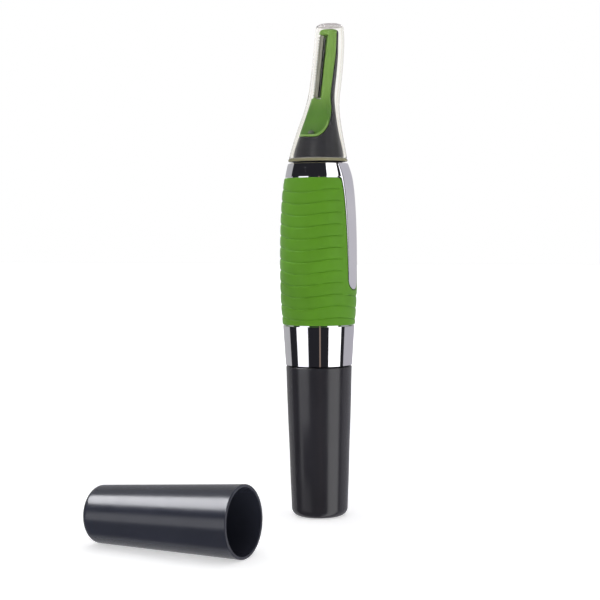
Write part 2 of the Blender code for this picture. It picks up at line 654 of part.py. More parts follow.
def build():
    for obj in list(bpy.data.objects):
        bpy.data.objects.remove(obj, do_unlink=True)

    black = material("black_plastic", (0.035, 0.034, 0.04), 0.3)
    green = material("green_plastic", (0.13, 0.34, 0.04), 0.4)
    rubber = material("green_rubber", (0.11, 0.33, 0.02), 0.6)
    chrome = material("chrome", (0.75, 0.74, 0.78), 0.08, 1.0)
    clear = material("clear_plastic", (0.9, 0.9, 0.85), 0.05)
    steel = material("blade_steel", (0.55, 0.55, 0.55), 0.3, 1.0)
    spring_steel = material("spring_steel", (0.5, 0.5, 0.52), 0.35, 1.0)
    brass = material("brass", (0.7, 0.5, 0.2), 0.3, 1.0)
    copper = material("copper", (0.7, 0.3, 0.15), 0.4, 1.0)
    ferrite = material("ferrite", (0.06, 0.06, 0.07), 0.7)
    white = material("white_plastic", (0.75, 0.75, 0.72), 0.5)
    board = material("board_green", (0.02, 0.2, 0.08), 0.5)
    red = material("red_insulation", (0.6, 0.03, 0.02), 0.5)
    seal = material("seal_rubber", (0.02, 0.02, 0.02), 0.8)
    label = material("cell_label", (0.35, 0.37, 0.4), 0.4)

    make_head(black, green)
    comb, moving = make_cutter(steel, white, spring_steel)
    make_lamp(clear, board, red, black)
    make_tube(chrome)
    make_grip(rubber)
    make_chassis(white)
    rotor = make_motor(steel, black, copper, ferrite, brass, white)

    hang("rotor_axis", (0, 0, CAN_TOP), rotor)
    hang("cutter_axis", BLADE_MIDDLE, moving)
    hang("guard_axis", (0, 0, LIP_BOTTOM), [make_guard(clear)])
    hang("clip_axis", (0, 8.1, 99.0), [make_clip(chrome)])
    hang("switch_axis", (0, 0, 48.8), make_switch(black, brass))
    hang("barrel_axis", (0, 0, 0), make_barrel(black, seal, white, brass, spring_steel))
    hang("battery_axis", (0, 0, CELL_BOTTOM), make_battery(label, steel))
    make_cap(black)


build()
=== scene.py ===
"""Looks of the nose hair trimmer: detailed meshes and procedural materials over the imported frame.

Sizes are in millimetres, in the frame of the CAD: +Z up the trimmer, blade toward -Y, lamp toward +X,
clip toward +Y. Each mesh is scaled to metres when its piece is made.
"""
import math

import bmesh
import bpy
from mathutils import Matrix, Vector


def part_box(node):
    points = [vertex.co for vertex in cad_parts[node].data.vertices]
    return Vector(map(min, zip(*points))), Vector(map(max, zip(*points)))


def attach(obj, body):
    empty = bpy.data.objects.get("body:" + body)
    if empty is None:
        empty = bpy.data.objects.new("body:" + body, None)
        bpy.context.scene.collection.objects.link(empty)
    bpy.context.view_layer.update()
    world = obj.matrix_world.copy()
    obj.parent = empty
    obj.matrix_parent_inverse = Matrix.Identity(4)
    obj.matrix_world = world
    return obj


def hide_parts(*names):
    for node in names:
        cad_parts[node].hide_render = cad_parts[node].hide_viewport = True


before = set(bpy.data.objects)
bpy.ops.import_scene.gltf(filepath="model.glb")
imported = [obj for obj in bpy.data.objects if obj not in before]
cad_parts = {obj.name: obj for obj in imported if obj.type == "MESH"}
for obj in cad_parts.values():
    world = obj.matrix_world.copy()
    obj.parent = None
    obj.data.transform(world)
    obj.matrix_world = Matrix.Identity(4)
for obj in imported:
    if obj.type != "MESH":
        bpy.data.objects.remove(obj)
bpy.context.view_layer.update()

MM = 0.001

ORIGIN = Vector((0.0, 0.0, 0.0))
X_AXIS = Vector((1.0, 0.0, 0.0))
Y_AXIS = Vector((0.0, 1.0, 0.0))
Z_AXIS = Vector((0.0, 0.0, 1.0))


def edges(node):
    """Lowest and highest corner of a CAD node, in millimetres."""
    low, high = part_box(node)
    return [c / MM for c in low], [c / MM for c in high]


# Heights taken from the frame
TUBE_BOTTOM, TUBE_TOP = [corner[2] for corner in edges("main_tube")]
CLIP_BOTTOM = edges("clip")[0][2]
LIP_BOTTOM = edges("head_guard")[0][2]

TURNED = 160         # facets round the large turned pieces
OVAL_STEPS = 128     # points round the head and the guard


# ---------------------------------------------------------------- mesh tools

def make(name, bm, mat, body=None, stands_for=(), smooth=30):
    """Turn a closed bmesh in millimetres into a smooth-shaded piece that rides on a body."""
    bmesh.ops.recalc_face_normals(bm, faces=bm.faces)
    bmesh.ops.scale(bm, vec=(MM, MM, MM), verts=bm.verts)
    mesh = bpy.data.meshes.new(name)
    bm.to_mesh(mesh)
    bm.free()
    if mat:
        mesh.materials.append(mat)
    mesh.shade_smooth()
    mesh.set_sharp_from_angle(angle=math.radians(smooth))
    obj = bpy.data.objects.new(name, mesh)
    bpy.context.scene.collection.objects.link(obj)
    if body:
        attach(obj, body)
    if stands_for:
        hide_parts(*stands_for)
    return obj


def baked(obj, smooth=30):
    """Replace the object's mesh with what its modifiers make of it."""
    graph = bpy.context.evaluated_depsgraph_get()
    mesh = bpy.data.meshes.new_from_object(obj.evaluated_get(graph), depsgraph=graph)
    obj.modifiers.clear()
    obj.data = mesh
    mesh.shade_smooth()
    if smooth:
        mesh.set_sharp_from_angle(angle=math.radians(smooth))
    return obj


def cut(obj, bm, operation="DIFFERENCE"):
    """Boolean with a throw-away shape."""
    tool = make("tool", bm, None)
    mod = obj.modifiers.new("cut", "BOOLEAN")
    mod.operation = operation
    mod.solver = "EXACT"
    mod.object = tool
    baked(obj)
    bpy.data.objects.remove(tool, do_unlink=True)


def bevel(obj, width, segments=3, angle=30):
    """Round the edges that are sharper than an angle in degrees."""
    mod = obj.modifiers.new("bevel", "BEVEL")
    mod.width = width * MM
    mod.segments = segments
    mod.limit_method = "ANGLE"
    mod.angle_limit = math.radians(angle)
    return baked(obj, smooth=50)


def soften(obj, voxel, repeats):
    """Remesh finely and relax the surface, which rounds every edge as a moulding has them."""
    mod = obj.modifiers.new("remesh", "REMESH")
    mod.mode = "VOXEL"
    mod.voxel_size = voxel * MM
    mod = obj.modifiers.new("smooth", "SMOOTH")
    mod.factor = 0.5
    mod.iterations = repeats
    return baked(obj, smooth=None)


def skin(rings, closed=False):
    """A solid through rings of points: capped at both ends, or joined end to end when closed."""
    bm = bmesh.new()
    loops = [[bm.verts.new(point) for point in ring] for ring in rings]
    pairs = list(zip(loops, loops[1:])) + ([(loops[-1], loops[0])] if closed else [])
    for lower, upper in pairs:
        count = max(len(lower), len(upper))
        for i in range(count):
            j = (i + 1) % count
            corners = [lower[i % len(lower)], lower[j % len(lower)]]
            corners += [upper[j % len(upper)], upper[i % len(upper)]]
            bm.faces.new(list(dict.fromkeys(corners)))
    if not closed:
        for end in (loops[0], loops[-1]):
            if len(end) > 2:
                bm.faces.new(end)
    return bm


def circle(radius, height, steps=TURNED, centre=(0.0, 0.0)):
    """A level ring of points, or one point where the radius is 0."""
    if radius == 0:
        return [(centre[0], centre[1], height)]
    turns = [2 * math.pi * i / steps for i in range(steps)]
    return [(centre[0] + radius * math.cos(a), centre[1] + radius * math.sin(a), height) for a in turns]


def lathe(outline, steps=TURNED, centre=(0.0, 0.0)):
    """Turn an outline of (radius, height) points; one that starts and ends on the axis makes a solid."""
    rings = [circle(radius, height, steps, centre) for radius, height in outline]
    return skin(rings, closed=len(rings[0]) > 1)


def prism(outline, origin, side, up, depth_axis, near, far):
    """A flat outline of (side, up) points, pushed along depth_axis from near to far."""
    rings = []
    for depth in (near, far):
        rings.append([origin + side * s + up * u + depth_axis * depth for s, u in outline])
    return skin(rings)


def block(low, high):
    """A box between two corners."""
    bm = bmesh.new()
    bmesh.ops.create_cube(bm, size=1.0)
    size = [high[i] - low[i] for i in range(3)]
    middle = [(high[i] + low[i]) / 2 for i in range(3)]
    bmesh.ops.scale(bm, vec=size, verts=bm.verts)
    bmesh.ops.translate(bm, vec=middle, verts=bm.verts)
    return bm


def rod(start, end, radius, steps=32):
    """A round bar between two points."""
    start, end = Vector(start), Vector(end)
    turn = (end - start).to_track_quat("Z", "Y").to_matrix()
    flat = [Vector(point) for point in circle(radius, 0.0, steps)]
    return skin([[spot + turn @ point for point in flat] for spot in (start, end)])


def arc(centre, radius, start, end, count):
    """Points on an arc of a circle, both ends included. Angles are in degrees."""
    points = []
    for i in range(count + 1):
        angle = math.radians(start + (end - start) * i / count)
        points.append((centre[0] + radius * math.cos(angle), centre[1] + radius * math.sin(angle)))
    return points


def spread(low, high, count):
    """Evenly spaced values from low to high, both included."""
    return [low + (high - low) * i / count for i in range(count + 1)]


def between(stations, height):
    """All columns of a station table at a height, on a smooth curve through the stations."""
    rows = [stations[0]] + list(stations) + [stations[-1]]
    height = min(max(height, stations[0][0]), stations[-1][0])
    i = next(k for k in range(1, len(stations)) if height <= rows[k + 1][0])
    before, low, high, after = rows[i - 1], rows[i], rows[i + 1], rows[i + 2]
    span = high[0] - low[0]
    t = (height - low[0]) / span
    values = []
    for column in range(1, len(low)):
        slope_low = (high[column] - before[column]) / (high[0] - before[0]) * span
        slope_high = (after[column] - low[column]) / (after[0] - low[0]) * span
        value = (2 * t**3 - 3 * t**2 + 1) * low[column] + (t**3 - 2 * t**2 + t) * slope_low
        value += (3 * t**2 - 2 * t**3) * high[column] + (t**3 - t**2) * slope_high
        values.append(value)
    return values


def turned_curve(stations, count):
    """A smooth outline of (radius, height) points through a table of (height, radius) stations."""
    heights = spread(stations[0][0], stations[-1][0], count)
    return [(between(stations, height)[0], height) for height in heights]


def oval(stations, height, shrink=0.0, steps=OVAL_STEPS, level=None):
    """A ring of a leaning, slightly squared section, drawn at another level if one is given."""
    middle, half_x, half_y, power = between(stations, height)
    ring = []
    for i in range(steps):
        angle = 2 * math.pi * i / steps
        cos, sin = math.cos(angle), math.sin(angle)
        x = math.copysign(abs(cos) ** (2 / power), cos) * (half_x - shrink)
        y = math.copysign(abs(sin) ** (2 / power), sin) * (half_y - shrink)
        ring.append((x, middle + y, height if level is None else level))
    return ring


# ---------------------------------------------------------------- materials

class Look:
    """A Principled material with short calls for the nodes that vary it over the surface."""

    def __init__(self, name, colour, roughness, metallic=0.0):
        self.mat = bpy.data.materials.new(name)
        self.mat.use_nodes = True
        self.nodes = self.mat.node_tree.nodes
        self.links = self.mat.node_tree.links
        self.shader = self.nodes["Principled BSDF"]
        self.shader.inputs["Base Color"].default_value = (*colour, 1.0)
        self.shader.inputs["Roughness"].default_value = roughness
        self.shader.inputs["Metallic"].default_value = metallic
        self.colour = colour
        self.coords = self.nodes.new("ShaderNodeTexCoord")
        self.last_bump = None

    def set(self, **values):
        """Plain values for the shader's sockets, named with _ for each space."""
        for name, value in values.items():
            self.shader.inputs[name.replace("_", " ")].default_value = value

    def noise(self, scale, detail=3.0, stretch=(1.0, 1.0, 1.0)):
        """Noise in the piece's own metres: scale is how many bumps there are in a metre."""
        mapping = self.nodes.new("ShaderNodeMapping")
        mapping.inputs["Scale"].default_value = stretch
        self.links.new(self.coords.outputs["Object"], mapping.inputs["Vector"])
        tex = self.nodes.new("ShaderNodeTexNoise")
        tex.inputs["Scale"].default_value = scale
        tex.inputs["Detail"].default_value = detail
        self.links.new(mapping.outputs["Vector"], tex.inputs["Vector"])
        return tex.outputs["Fac"]

    def ramp(self, source, start, end):
        """A colour that runs from one (position, colour) pair to another."""
        node = self.nodes.new("ShaderNodeValToRGB")
        first, last = node.color_ramp.elements
        first.position, first.color = start[0], (*start[1], 1.0)
        last.position, last.color = end[0], (*end[1], 1.0)
        self.links.new(source, node.inputs["Fac"])
        return node.outputs["Color"]

    def fade(self, source, start, end):
        """0 before start and 1 past end, in millimetres of the piece."""
        node = self.nodes.new("ShaderNodeMapRange")
        node.interpolation_type = "SMOOTHSTEP"
        node.inputs["From Min"].default_value = start * MM
        node.inputs["From Max"].default_value = end * MM
        self.links.new(source, node.inputs["Value"])
        return node.outputs["Result"]

    def place(self, tilt=0.0):
        """The X, Y and Z of the surface, in axes tipped about X."""
        turn = self.nodes.new("ShaderNodeMapping")
        turn.inputs["Rotation"].default_value = (tilt, 0.0, 0.0)
        self.links.new(self.coords.outputs["Object"], turn.inputs["Vector"])
        split = self.nodes.new("ShaderNodeSeparateXYZ")
        self.links.new(turn.outputs["Vector"], split.inputs["Vector"])
        return split.outputs

    def mix(self, factor, source, other):
        """A colour socket that turns into a plain colour where the factor is 1."""
        node = self.nodes.new("ShaderNodeMix")
        node.data_type = "RGBA"
        self.links.new(factor, node.inputs["Factor"])
        self.links.new(source, node.inputs["A"])
        node.inputs["B"].default_value = (*other, 1.0)
        return node.outputs["Result"]

    def combine(self, operation, first, second):
        """Two values joined by a sum of the Math node."""
        node = self.nodes.new("ShaderNodeMath")
        node.operation = operation
        self.links.new(first, node.inputs[0])
        self.links.new(second, node.inputs[1])
        return node.outputs["Value"]

    def tint(self, source, other, low=0.35, high=0.65):
        """The base colour drifts from the main colour to another."""
        colour = self.ramp(source, (low, self.colour), (high, other))
        self.links.new(colour, self.shader.inputs["Base Color"])

    def rough(self, source, smooth, dull):
        """The roughness drifts between two values."""
        node = self.nodes.new("ShaderNodeMapRange")
        node.inputs["From Min"].default_value = 0.3
        node.inputs["From Max"].default_value = 0.7
        node.inputs["To Min"].default_value = smooth
        node.inputs["To Max"].default_value = dull
        self.links.new(source, node.inputs["Value"])
        self.links.new(node.outputs["Result"], self.shader.inputs["Roughness"])

    def bump(self, source, distance):
        """Relief of the given depth in millimetres, added to any relief before it."""
        node = self.nodes.new("ShaderNodeBump")
        node.inputs["Distance"].default_value = distance * MM
        node.inputs["Strength"].default_value = 1.0
        self.links.new(source, node.inputs["Height"])
        if self.last_bump:
            self.links.new(self.last_bump, node.inputs["Normal"])
        self.last_bump = node.outputs["Normal"]
        self.links.new(self.last_bump, self.shader.inputs["Normal"])


def scaled(colour, factor):
    """A lighter or darker shade of a colour."""
    return tuple(min(1.0, c * factor) for c in colour)


def plastic(name, colour, roughness, grain=1800, relief=0.004, spread_by=0.12, specular=0.5):
    """Moulded plastic: a fine grain, slight colour drift and uneven gloss."""
    look = Look(name, colour, roughness)
    look.set(Specular_IOR_Level=specular)
    look.tint(look.noise(60.0), scaled(colour, 1.0 + spread_by))
    look.rough(look.noise(220.0, 4.0), roughness * 0.85, roughness * 1.2)
    look.bump(look.noise(grain, 2.0), relief)
    return look.mat


def metal(name, colour, roughness, stretch=(1.0, 1.0, 0.05), grain=9000, relief=0.002, dark=0.8):
    """Drawn or ground metal: fine lines along one way."""
    look = Look(name, colour, roughness, 1.0)
    lines = look.noise(grain, 2.0, stretch)
    look.tint(look.noise(150.0), scaled(colour, dark))
    look.rough(lines, roughness * 0.7, roughness * 1.4)
    look.bump(lines, relief)
    return look.mat


def srgb(red, green, blue):
    """A linear colour from the 0 to 255 values a paint chart gives."""
    linear = []
    for value in (red, green, blue):
        share = value / 255
        linear.append(share / 12.92 if share <= 0.04045 else ((share + 0.055) / 1.055) ** 2.4)
    return tuple(linear)


BLACK = srgb(44, 43, 48)
CAP_BLACK = srgb(46, 48, 58)
HEAD_BLACK = srgb(15, 14, 25)
GRIP_GREEN = srgb(91, 148, 26)
HOLDER_GREEN = srgb(70, 118, 16)
# Painted highlight: the lighter green laid on the insert's ridge and on the scoop's rim
RIDGE_HIGHLIGHT_GREEN = srgb(110, 150, 62)
CREAM = srgb(156, 152, 122)
CLEAR_TINT = (0.985, 0.98, 0.96)     # the guard's wall seen face on
# Painted edge colour: cream and darker where the wall is seen edge on, standing in for light bent in the
# wall
PAINTED_EDGE_TINT = (0.6, 0.57, 0.45)        # the wall seen edge on
# Painted grey shade on the guard's top, where its wall curves over and is seen edge on
CROWN_SHADE_TINT = (0.4, 0.37, 0.37)       # the thick top of the guard


def rubber_look():
    """Soft-touch rubber: matte, with a fine moulded grain and a faint bloom."""
    look = Look("grip_rubber", GRIP_GREEN, 0.62)
    look.set(Specular_IOR_Level=0.3, Sheen_Weight=0.16, Sheen_Roughness=0.4)
    look.tint(look.noise(90.0, 4.0), scaled(GRIP_GREEN, 0.9))
    look.rough(look.noise(400.0), 0.55, 0.7)
    look.bump(look.noise(6000.0, 2.0), 0.012)
    look.bump(look.noise(700.0, 2.0), 0.01)
    return look.mat


def barrel_look():
    """Semi-gloss moulded plastic with faint lines of the mould along the barrel."""
    look = Look("barrel_plastic", BLACK, 0.22)
    look.set(Specular_IOR_Level=0.5)
    look.tint(look.noise(40.0), scaled(BLACK, 1.2))
    look.rough(look.noise(260.0, 4.0), 0.19, 0.25)
    look.bump(look.noise(60.0, 1.0, (1.0, 1.0, 0.15)), 0.02)
    return look.mat


def cap_look():
    """The barrel's plastic in a bluer black."""
    look = Look("cap_plastic", CAP_BLACK, 0.3)
    look.set(Specular_IOR_Level=0.5)
    look.tint(look.noise(40.0), scaled(CAP_BLACK, 1.2))
    look.rough(look.noise(260.0, 4.0), 0.19, 0.26)
    look.bump(look.noise(60.0, 1.0, (1.0, 1.0, 0.15)), 0.01)
    return look.mat


def chrome_look(name, colour, shade):
    """Bright plating over moulded plastic: nearly a mirror, with a hint of orange peel."""
    look = Look(name, colour, 0.05, 1.0)
    look.tint(look.noise(60.0), shade)
    look.rough(look.noise(500.0, 4.0), 0.035, 0.08)
    look.bump(look.noise(260.0, 1.0), 0.003)
    return look.mat


def guard_look():
    """Clear plastic, cream at the lip, where light gathers in its thick edge."""
    look = Look("guard_clear", (0.97, 0.97, 0.95), 0.03)
    look.set(Transmission_Weight=1.0, IOR=1.15)
    lip = look.fade(look.place()["Z"], LIP_TOP + 0.3, LIP_TOP - 0.1)
    # Painted edge colour, set by how edge-on the wall is seen: a stand-in for light bent in the wall
    grazing = look.nodes.new("ShaderNodeLayerWeight")
    grazing.inputs["Blend"].default_value = 0.5
    body = look.ramp(grazing.outputs["Facing"], (0.5, CLEAR_TINT), (0.82, PAINTED_EDGE_TINT))
    # Painted grey shade over the top of the guard
    crown = look.fade(look.place()["Z"], GUARD_TOP - 0.8, GUARD_TOP - 0.6)
    colour = look.mix(lip, look.mix(crown, body, CROWN_SHADE_TINT), CREAM)
    look.links.new(colour, look.shader.inputs["Base Color"])
    clear = look.nodes.new("ShaderNodeMapRange")
    clear.inputs["To Min"].default_value = 1.0
    clear.inputs["To Max"].default_value = 0.25
    look.links.new(lip, clear.inputs["Value"])
    look.links.new(clear.outputs["Result"], look.shader.inputs["Transmission Weight"])
    look.rough(look.noise(300.0, 3.0), 0.02, 0.05)
    look.bump(look.noise(120.0, 1.0), 0.004)
    return look.mat


def holder_look():
    """Satin green, with a painted highlight along the ridge beside the slot and on the rim of the scoop."""
    look = Look("holder_green", HOLDER_GREEN, 0.4)
    look.set(Specular_IOR_Level=0.4)
    place, tipped = look.place(), look.place(-BLADE_TILT)
    line = BLADE_MIDDLE.y * math.cos(BLADE_TILT) - BLADE_MIDDLE.z * math.sin(BLADE_TILT)
    slot_edge = line + SLOT_BACK
    # ridge and rim mark where the painted highlight lies, lighter where those edges would catch the light
    ridge = look.combine("MULTIPLY", look.fade(tipped["Y"], slot_edge + 0.2, slot_edge + 1.0),
                         look.fade(place["Z"], 114.0, 121.0))
    rim = look.combine("MULTIPLY", look.fade(place["X"], SCOOP_FACE + 0.1, SCOOP_FACE + 0.3),
                       look.fade(place["Z"], 118.0, 113.0))
    look.tint(look.combine("MAXIMUM", ridge, rim), RIDGE_HIGHLIGHT_GREEN, 0.0, 1.0)
    look.rough(look.noise(220.0, 4.0), 0.34, 0.48)
    look.bump(look.noise(1800.0, 2.0), 0.006)
    return look.mat


def lamp_look():
    """A small tinted lens, dark against the green round it."""
    look = Look("lamp_clear", (0.12, 0.16, 0.1), 0.15)
    look.set(Transmission_Weight=0.3, IOR=1.45)
    look.rough(look.noise(900.0), 0.06, 0.12)
    look.bump(look.noise(1500.0), 0.003)
    return look.mat


def label_look():
    """The cell's plain printed film."""
    look = Look("cell_label", srgb(150, 154, 160), 0.3, 0.4)
    look.tint(look.noise(80.0), srgb(138, 142, 150))
    look.rough(look.noise(500.0), 0.25, 0.35)
    look.bump(look.noise(900.0, 2.0, (1.0, 1.0, 0.1)), 0.01)
    return look.mat


def make_looks():
    """One look for each material slot of the CAD, and one more for the clip."""
    return {
        "black_gloss": plastic("black_plastic", HEAD_BLACK, 0.42, specular=0.35),
        "green_holder": holder_look(),
        "green_rubber": rubber_look(),
        "chrome": chrome_look("chrome_plating", (0.83, 0.82, 0.85), (0.79, 0.785, 0.82)),
        "clip_chrome": chrome_look("clip_plating", (1.0, 0.99, 1.0), (0.92, 0.92, 0.95)),
        "clear": guard_look(),
        "steel": metal("ground_steel", (0.25, 0.25, 0.21), 0.42),
        "brass": metal("sheet_brass", (0.72, 0.52, 0.22), 0.25),
        "copper": metal("copper_winding", (0.7, 0.3, 0.15), 0.35, stretch=(1.0, 1.0, 6.0), grain=2500,
                        relief=0.02),
        "ferrite": plastic("ferrite", srgb(60, 60, 64), 0.6, grain=4000, relief=0.02),
        "white_plastic": plastic("natural_plastic", srgb(222, 221, 214), 0.45, spread_by=-0.06),
        "board": plastic("board_green", srgb(30, 110, 66), 0.35, grain=3000, relief=0.01),
        "red_wire": plastic("red_insulation", srgb(190, 30, 24), 0.4),
        "black_wire": plastic("black_insulation", srgb(30, 30, 32), 0.4),
        "seal": plastic("seal_rubber", srgb(24, 24, 25), 0.6, grain=5000, relief=0.006),
        "label": label_look(),
    }


def dress_frame(looks):
    """Every CAD node that stays in view gets the look of its own slot."""
    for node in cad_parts.values():
        slot = node.data.materials[0].name.split(".")[0]
        node.data.materials[0] = looks[slot]


# ---------------------------------------------------------------- shapes shared with the CAD

# Head: height, middle in Y, half width in X, half width in Y, squareness
HEAD = [
    (101.2, 0.12, 7.35, 7.35, 2.0),
    (104.0, 0.30, 6.75, 6.75, 2.0),
    (108.5, 0.55, 5.5, 5.5, 2.0),
    (113.0, 1.05, 4.25, 4.3, 2.1),
    (118.5, 1.75, 3.0, 3.15, 2.4),
    (125.0, 2.55, 2.7, 3.0, 2.6),
    (130.0, 3.10, 2.55, 2.95, 2.6),
    (135.0, 3.55, 2.4, 2.65, 2.6),
    (137.1, 3.68, 2.33, 2.58, 2.6),
]
HEAD_TOP = 137.4
HEAD_TIP_ROUND = 0.9
SPIGOT_RADIUS = 6.9
SPIGOT_BOTTOM = 94.4
SHELL_CAVITY = [(0, 90), (5.9, 90), (5.9, 103), (4.4, 106), (0, 106)]    # radius, height

# Clear guard: the same columns for its outer surface
GUARD = [
    (101.75, 0.06, 8.15, 8.15, 2.0),
    (103.4, 0.17, 7.8, 7.8, 2.0),
    (106.9, 0.42, 6.95, 6.95, 2.0),
    (110.6, 0.78, 6.0, 6.0, 2.0),
    (114.5, 1.30, 4.95, 5.05, 2.0),
    (118.2, 1.90, 4.3, 4.5, 2.1),
    (122.7, 2.60, 4.1, 4.35, 2.2),
    (128.0, 3.25, 3.95, 4.25, 2.3),
    (134.0, 3.78, 3.75, 4.05, 2.4),
    (137.6, 3.88, 3.5, 3.8, 2.4),
]
GUARD_WALL = 0.6
GUARD_TOP = 138.9
LIP_RADIUS = 8.4
LIP_TOP = 101.3
LIP_WALL = 0.65

# The straight line that the cutter slides along
BLADE_TILT = math.radians(6.7)
BLADE_MIDDLE = Vector((1.2, 2.05, 126.9))
ALONG = Vector((0.0, math.sin(BLADE_TILT), math.cos(BLADE_TILT)))
ACROSS = Vector((0.0, math.cos(BLADE_TILT), -math.sin(BLADE_TILT)))
SLOT_LENGTH = 17.9
SLOT_BACK = 1.22
ROD_CHANNEL = 1.0            # half width of the channel that the rod and carrier run in
COMB_FACES = (1.75, 2.1)     # inner and outer X of the comb
COMB_HALF = 8.65             # half the comb's length
BLADE_FACES = (1.05, 1.4)
BLADE_HALF = 8.25
TOOTH_PITCH = 0.8
TOOTH_WIDTH = 0.4

# The insert and its scoop
WINDOW_SHEAR = Vector((1.0, 0.5, 0.0))
WINDOW_FLOOR = -0.45
WINDOW_TOP = 140.0
WINDOW_FRONT = -9.0
WINDOW_CORNER = (-1.5, 115.5)
# Height, and how far the back edge stands from its usual place
WINDOW_BACK = [(118.5, -0.68), (125.0, -0.5), (130.0, -0.2), (135.0, 0.0), (140.0, 0.1)]
SEAM = 0.08              # half the gap between the insert and the shell
SCOOP_FACE = 2.75
SCOOP_RIM = 0.75
LAMP_PLACE = (4.0, -0.2)
LAMP_RADIUS = 0.9
LAMP_DOME = 108.4        # where the lamp's dome starts
LAMP_CLEARANCE = 0.2

# The plated tube
SEAT_RADIUS = 8.7            # under the grip
SEAT_BOTTOM, SEAT_TOP = 54.3, 96.2
TUBE_BORE = 7.9
SOCKET_BORE = 8.65           # wider, where the switch ring turns
SOCKET_TOP = 52.6
COLLAR_BORE = 7.25
COLLAR_STEP = 94.1

# Grip and clip: height, radius
GRIP_BORE = 9.0
GRIP_EDGE = 0.3              # rounding of the grip's two ends
GRIP_STEPS = 240
GRIP = [(54.6, 10.3), (56.5, 10.45), (60.0, 10.7), (65.0, 10.9), (72.0, 10.93), (79.0, 10.83), (86.0, 10.58),
        (92.0, 10.12), (95.9, 9.5)]
GROOVES = 12
GROOVE_PITCH = 3.25
FIRST_GROOVE = 56.5
GROOVE_DEPTH = 0.3
# Where the rows of points lie across one groove, closer together at its bottom
GROOVE_ROWS = [-1.3, -0.9, -0.6, -0.4, -0.26, -0.16, -0.08, 0.0, 0.08, 0.16, 0.26, 0.4, 0.6, 0.9, 1.3]
WAVE_HEIGHT = 0.55
WAVES_ROUND = 3
WAVE_CREST = math.radians(53)
CLIP = [(64.6, 10.9), (70.0, 11.0), (79.0, 10.95), (86.0, 10.72), (92.0, 10.3), (96.0, 9.75), (98.2, 9.15),
        (100.0, 8.5)]
CLIP_END = 67.5              # centre of the round end
CLIP_HALF = (2.9, 3.5)       # half width at the round end and at the root
CLIP_THICK = 0.8
NOTCH_HALF = CLIP_HALF[1] + 0.3
NOTCH_END = CLIP_HALF[0] + 0.3
NOTCH_FLARE = 1.5            # the notch widens at the top of the grip


def on_line(height):
    """The point of the cutter's line at a height."""
    return BLADE_MIDDLE + ALONG * ((height - BLADE_MIDDLE.z) / ALONG.z)


def blade_prism(outline, near, far):
    """A shape drawn across and along the blade's line, pushed in X."""
    origin = Vector((0.0, BLADE_MIDDLE.y, BLADE_MIDDLE.z))
    return prism(outline, origin, ACROSS, ALONG, X_AXIS, near, far)


# ---------------------------------------------------------------- head

def head_rings(bottom):
    """Fine sections of the leaning head, up to a tip with a rounded edge."""
    tip = HEAD[-1][0]
    rings = [oval(HEAD, height) for height in spread(bottom, HEAD_TOP - HEAD_TIP_ROUND, 80)]
    for inward, rise in arc((0.0, 0.0), HEAD_TIP_ROUND, 10, 90, 8):
        rings.append(oval(HEAD, tip, HEAD_TIP_ROUND - inward, level=HEAD_TOP - HEAD_TIP_ROUND + rise))
    return rings


def window_outline(offset, top=WINDOW_TOP):
    """Outline of the insert in Y and Z: a straight back edge that curves forward at its foot."""
    outline = []
    for height in spread(WINDOW_BACK[0][0], top, 12)[::-1]:
        middle, _, half_y, _ = between(HEAD, height)
        outline.append((middle + 0.92 * half_y + between(WINDOW_BACK, height)[0] + offset, height))
    for y, z in arc((0.0, 0.0), 1.0, 0, -90, 24):
        outline.append((WINDOW_CORNER[0] + y * (5.7 + offset), WINDOW_CORNER[1] + z * (8.3 + offset)))
    outline.append((WINDOW_FRONT, 107.6 - offset))
    outline.append((WINDOW_FRONT, top))
    return outline


def window(offset, near, far, top=WINDOW_TOP):
    """The space of the insert, cut slantwise into the head."""
    return prism(window_outline(offset, top), ORIGIN, Y_AXIS, Z_AXIS, WINDOW_SHEAR, near, far)


def lamp_pin(radius, bottom, top):
    """An upright bar through the lamp's place."""
    return lathe([(0, bottom), (radius, bottom), (radius, top), (0, top)], 32, LAMP_PLACE)


def make_shell(look):
    """The black head: a spigot in the tube, a flared base and a slim spine, open where the insert sits."""
    base = HEAD[0][3]
    rings = [circle(SPIGOT_RADIUS, height, OVAL_STEPS) for height in (SPIGOT_BOTTOM, LIP_BOTTOM)]
    rings.append(circle(base, LIP_BOTTOM, OVAL_STEPS))
    rings += head_rings(HEAD[0][0])
    shell = make("shell_moulding", skin(rings), look, "handle", ["head_shell"])
    cut(shell, lathe(SHELL_CAVITY, 64))
    cut(shell, window(SEAM, WINDOW_FLOOR - SEAM, 12.0))
    cut(shell, rod(on_line(103.0), on_line(110.0), 1.2))
    cut(shell, lamp_pin(LAMP_RADIUS + LAMP_CLEARANCE, 100.0, 112.0))
    return soften(shell, voxel=0.13, repeats=3)


def make_holder(look):
    """The green insert, with its scoop, the slot for the blade and the channel for the rod."""
    holder = make("insert_moulding", skin(head_rings(105.0)), look, "handle", ["blade_holder"])
    cut(holder, window(-SEAM, WINDOW_FLOOR, 12.0), "INTERSECT")
    cut(holder, window(-SCOOP_RIM, SCOOP_FACE, 13.0, 124.0))
    half = SLOT_LENGTH / 2
    slot = [(WINDOW_FRONT, -half), (SLOT_BACK, -half), (SLOT_BACK, half), (WINDOW_FRONT, half)]
    cut(holder, blade_prism(slot, 0.0, 9.0))
    side, low, high = ROD_CHANNEL, -22.0, 0.2 - half
    cut(holder, blade_prism([(-side, low), (side, low), (side, high), (-side, high)], 0.2, 2.2))
    cut(holder, lamp_pin(LAMP_RADIUS + LAMP_CLEARANCE, 104.0, 113.0))
    return soften(holder, voxel=0.09, repeats=4)


def toothed(root, tip, back, half):
    """A strip along the blade's line with tapering teeth on its front edge."""
    outline = [(root, -half)]
    count = int(2 * half / TOOTH_PITCH)
    first = -count * TOOTH_PITCH / 2
    for i in range(count):
        start = first + i * TOOTH_PITCH + 0.2
        end = start + TOOTH_WIDTH
        outline += [(root, start), (tip, start + 0.05), (tip, end - 0.05), (root, end)]
    outline += [(root, half), (back, half), (back, -half)]
    return outline


